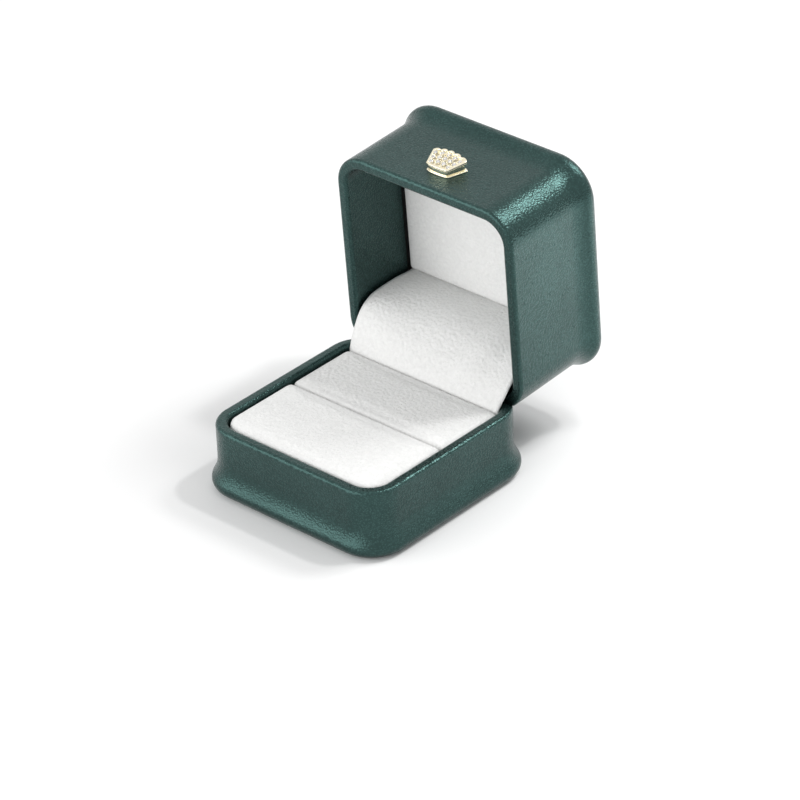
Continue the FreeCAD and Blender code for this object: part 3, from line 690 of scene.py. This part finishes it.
def add_crown_outline(curve, size):
    """Fan-shaped outline with a row of round lobes along its top, scaled about its middle."""
    middle = Vector((0, (CROWN_H + CROWN_RISE) / 2, 0))
    cusps = []
    for i in range(CROWN_LOBES + 1):
        share = 1 - 2 * i / CROWN_LOBES
        cusps.append(Vector((CROWN_SHOULDER * share, CROWN_H + CROWN_RISE * (1 - share ** 2), 0)))
    feet = [Vector((-CROWN_FOOT, 0, 0)), Vector((CROWN_FOOT, 0, 0))]
    corners = feet + cusps
    bulges = (CROWN_SAG, 0.0, *[LOBE_BULGE] * CROWN_LOBES, 0.0)
    leave = []
    reach = []
    for corner, following, bulge in zip(corners, corners[1:] + corners[:1], bulges):
        run = following - corner
        out = Vector((run.y, -run.x, 0)).normalized()
        leave.append(corner + run * HANDLE_INSET + out * bulge * HANDLE_REACH)
        reach.append(following - run * HANDLE_INSET + out * bulge * HANDLE_REACH)
    spline = curve.splines.new("BEZIER")
    spline.bezier_points.add(len(corners) - 1)
    spline.use_cyclic_u = True
    for i, point in enumerate(spline.bezier_points):
        point.handle_left_type = "FREE"
        point.handle_right_type = "FREE"
        point.co = middle + (corners[i] - middle) * size
        point.handle_right = middle + (leave[i] - middle) * size
        point.handle_left = middle + (reach[i - 1] - middle) * size


def crown_slab(sizes, low, high, edge):
    """A slab with rounded edges from the crown's outline. A second, smaller one opens its middle."""
    curve = bpy.data.curves.new("crown_work", "CURVE")
    curve.dimensions = "2D"
    curve.fill_mode = "BOTH"
    curve.resolution_u = OUTLINE_STEPS
    for size in sizes:
        add_crown_outline(curve, size)
    curve.extrude = (high - low) / 2 - edge
    curve.bevel_depth = edge
    curve.bevel_resolution = EDGE_STEPS
    curve.offset = -edge
    work = bpy.data.objects.new("crown_work", curve)
    bpy.context.scene.collection.objects.link(work)
    bm = bmesh.new()
    bm.from_mesh(evaluated_mesh(work))
    bpy.data.objects.remove(work)
    bmesh.ops.remove_doubles(bm, verts=bm.verts, dist=WELD_GAP)
    bmesh.ops.translate(bm, vec=(0, 0, (low + high) / 2), verts=bm.verts)
    return bm


def add_bmesh(target, source):
    """Add one bmesh to another."""
    mesh = bpy.data.meshes.new("work")
    source.to_mesh(mesh)
    source.free()
    target.from_mesh(mesh)
    bpy.data.meshes.remove(mesh)


def stone_places():
    """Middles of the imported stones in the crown's own frame, before the face leans out."""
    back = crown_place().inverted()
    bm = bmesh.new()
    bm.from_mesh(frame["nodes"]["crown_stones"].data)
    bmesh.ops.remove_doubles(bm, verts=bm.verts, dist=WELD_GAP)
    left = set(bm.verts)
    places = []
    while left:
        stone = {left.pop()}
        edge = set(stone)
        while edge:
            edge = {e.other_vert(v) for v in edge for e in v.link_edges} - stone
            stone |= edge
        left -= stone
        middle = sum((v.co for v in stone), Vector()) / len(stone)
        places.append(back @ middle)
    bm.free()
    places.sort(key=lambda p: (round(p.y / MM, 1), p.x))
    return places


def leaned(point, thickness):
    """Height of a point of a level crown once its face leans out and its sides droop."""
    droop = CROWN_DROOP * (point.x / CROWN_SHOULDER) ** 2
    return point.z * (1 + (point.y * math.tan(CROWN_TILT) - droop) / thickness)


class RINGBOX_OT_crown(bpy.types.Operator):
    """Make the gilt crown on the lid, its stones and the beads that hold them"""
    bl_idname = "ring_box.crown"
    bl_label = "Crown"

    def execute(self, context):
        settings = context.scene.ring_box_crown
        thickness = settings.thickness
        bed = thickness - settings.border
        body = crown_slab((1.0,), 0.0, CROWN_PLINTH, settings.edge)
        add_bmesh(body, crown_slab((CROWN_WAIST,), CROWN_PLINTH - settings.edge, CROWN_SHELF, settings.edge))
        add_bmesh(body, crown_slab((1.0,), CROWN_SHELF - settings.edge, bed, settings.edge))
        add_bmesh(body, crown_slab((1.0, CROWN_BED), bed - settings.edge, thickness, settings.edge))
        for v in body.verts:
            v.co.z = leaned(v.co, thickness)
        face = Matrix.Rotation(CROWN_TILT, 4, "X")
        stones = bmesh.new()
        for middle in stone_places():
            at = Vector((middle.x, middle.y, bed + settings.border / 2))
            at.z = leaned(at, thickness)
            fall = math.atan(2 * CROWN_DROOP * middle.x / CROWN_SHOULDER ** 2)
            seat = Matrix.Translation(at) @ face @ Matrix.Rotation(fall, 4, "Y")
            for radii, depth, middle_z in (((STONE_ROUND, STONE_TABLE), STONE_TOP, STONE_TOP / 2),
                                           ((STONE_POINT, STONE_ROUND), STONE_DEEP, -STONE_DEEP / 2)):
                bmesh.ops.create_cone(stones, cap_ends=True, segments=STONE_SIDES, radius1=radii[0],
                                      radius2=radii[1], depth=depth,
                                      matrix=seat @ Matrix.Translation((0, 0, middle_z)))
            for bead in range(STONE_BEADS):
                turn = math.tau * (bead + 0.5) / STONE_BEADS
                hold = Vector((math.cos(turn), math.sin(turn), BEAD_LIFT)) * STONE_ROUND
                bmesh.ops.create_icosphere(body, subdivisions=BEAD_SUBDIVISIONS, radius=settings.bead,
                                           matrix=seat @ Matrix.Translation(hold))
        place = crown_place()
        bmesh.ops.transform(body, matrix=place, verts=body.verts)
        bmesh.ops.transform(stones, matrix=place, verts=stones.verts)
        bmesh.ops.remove_doubles(stones, verts=stones.verts, dist=WELD_GAP)
        polish = clouded_metal("pale_gilt", settings.colour, cloud=0.8 * MM, roughness=(0.12, 0.26))
        gilt = new_piece("gilt_crown", body, polish)
        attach(gilt, "lid")
        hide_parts("crown_ornament")
        gems = new_piece("crown_gems", stones, stone_finish())
        for facet in gems.data.polygons:
            facet.use_smooth = False
        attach(gems, "lid")
        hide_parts("crown_stones")
        return {"FINISHED"}


def floor_finish(settings):
    """Matt paper without a sheen."""
    finish, shader = new_finish("studio_floor", settings.floor, roughness=0.9)
    shader.inputs["Specular IOR Level"].default_value = 0.0
    return finish


FLOOR_HALF = 4.0
LAMP_AIM = Vector((0, 0.01, 0.03))
# Each soft box: its direction from the box, its distance, its width and its height
KEY_LAMP = ((0.31, 0.38, 0.87), 0.8, 0.06, 0.06)
FRONT_LAMP = ((-0.36, -0.82, 0.33), 0.9, 1.3, 0.66)
GLEAM_LAMP = ((0.30, 0.62, 0.715), 0.7, 0.20, 0.20)
BACK_LAMP_AT = Vector((0.13, 0.14, 0.25))
BACK_LAMP_SIDE = 0.15
BACK_LAMP_SPREAD = math.radians(50)


def add_lamp(name, toward, distance, width, height, power):
    """Soft box in a direction from the point that it is aimed at."""
    lamp = bpy.data.lights.new(name, "AREA")
    lamp.shape = "RECTANGLE"
    lamp.size = width
    lamp.size_y = height
    lamp.energy = power
    holder = bpy.data.objects.new(name, lamp)
    aim = Vector(toward).normalized()
    holder.location = LAMP_AIM + aim * distance
    holder.rotation_euler = aim.to_track_quat("Z", "Y").to_euler()
    bpy.context.scene.collection.objects.link(holder)
    return holder


def add_back_lamp(power):
    """Lamp over the floor behind to the right, which the right side of the box reflects."""
    lamp = add_lamp("back", (0, 0, 1), BACK_LAMP_AT.z, BACK_LAMP_SIDE, BACK_LAMP_SIDE, power)
    lamp.location = BACK_LAMP_AT
    lamp.data.spread = BACK_LAMP_SPREAD


def light_world(strength):
    """Even light on the object, and white where the background shows."""
    world = bpy.data.worlds.new("studio")
    world.use_nodes = True
    back = world.node_tree.nodes["Background"]
    back.inputs["Color"].default_value = (1, 1, 1, 1)
    path = add_node(world, "ShaderNodeLightPath")
    clear = add_node(world, "ShaderNodeMath", operation="MAXIMUM")
    join(world, path.outputs["Is Transmission Ray"], clear.inputs[0])
    join(world, path.outputs["Is Glossy Ray"], clear.inputs[1])
    seen = add_node(world, "ShaderNodeMath", operation="MAXIMUM")
    join(world, path.outputs["Is Camera Ray"], seen.inputs[0])
    join(world, clear.outputs["Value"], seen.inputs[1])
    join(world, spread(world, seen.outputs["Value"], (strength, 1.0)), back.inputs["Strength"])
    bpy.context.scene.world = world


def add_camera(settings):
    """Camera on a sphere round its target, rolled about its line of sight."""
    a = settings.azimuth
    e = settings.elevation
    back = Vector((math.sin(a) * math.cos(e), -math.cos(a) * math.cos(e), math.sin(e)))
    right = Vector((math.cos(a), math.sin(a), 0))
    up = back.cross(right)
    turned_right = right * math.cos(settings.roll) + up * math.sin(settings.roll)
    turned_up = up * math.cos(settings.roll) - right * math.sin(settings.roll)
    lens = bpy.data.cameras.new("camera")
    lens.sensor_width = SENSOR_MM
    lens.lens = settings.focal_px * SENSOR_MM / IMAGE_SIDE
    camera = bpy.data.objects.new("camera", lens)
    place = Matrix((turned_right, turned_up, back)).transposed().to_4x4()
    place.translation = Vector(settings.target) + back * settings.distance
    camera.matrix_world = place
    bpy.context.scene.collection.objects.link(camera)
    bpy.context.scene.camera = camera


class RINGBOX_OT_stage(bpy.types.Operator):
    """Set the floor, the lights and the camera"""
    bl_idname = "ring_box.stage"
    bl_label = "Stage"

    def execute(self, context):
        settings = context.scene.ring_box_studio
        bm = bmesh.new()
        bmesh.ops.create_grid(bm, x_segments=2, y_segments=2, size=FLOOR_HALF)
        floor = new_piece("floor", bm, floor_finish(settings))
        add_lamp("key", *KEY_LAMP, settings.key)
        add_lamp("front", *FRONT_LAMP, settings.front)
        add_lamp("gleam", *GLEAM_LAMP, settings.gleam)
        add_back_lamp(settings.back)
        light_world(settings.sky)
        add_camera(settings)
        context.scene.view_settings.view_transform = "Standard"
        return {"FINISHED"}


class RINGBOX_PT_parts(bpy.types.Panel):
    """Lists the pieces of the ring box"""
    bl_label = "Ring Box"
    bl_idname = "RINGBOX_PT_parts"
    bl_space_type = "VIEW_3D"
    bl_region_type = "UI"
    bl_category = "Ring Box"

    def draw(self, context):
        for operator in OPERATORS:
            self.layout.operator(operator.bl_idname)
        for group in GROUPS:
            settings = getattr(context.scene, group)
            for name in GROUPS[group].__annotations__:
                self.layout.prop(settings, name)


GROUPS = {
    "ring_box_leather": LeatherSettings,
    "ring_box_suede": SuedeSettings,
    "ring_box_crown": CrownSettings,
    "ring_box_studio": StudioSettings,
}
OPERATORS = (RINGBOX_OT_trays, RINGBOX_OT_hinge, RINGBOX_OT_cushions, RINGBOX_OT_ceiling, RINGBOX_OT_flap,
             RINGBOX_OT_crown, RINGBOX_OT_stage)
CLASSES = (*GROUPS.values(), *OPERATORS, RINGBOX_PT_parts)


def register():
    for part in CLASSES:
        bpy.utils.register_class(part)
    for name, group in GROUPS.items():
        setattr(bpy.types.Scene, name, bpy.props.PointerProperty(type=group))


def unregister():
    for name in GROUPS:
        delattr(bpy.types.Scene, name)
    for part in reversed(CLASSES):
        bpy.utils.unregister_class(part)


def main():
    register()
    bpy.ops.ring_box.trays()
    bpy.ops.ring_box.hinge()
    bpy.ops.ring_box.cushions()
    bpy.ops.ring_box.ceiling()
    bpy.ops.ring_box.flap()
    bpy.ops.ring_box.crown()
    bpy.ops.ring_box.stage()


if __name__ == "__main__":
    main()
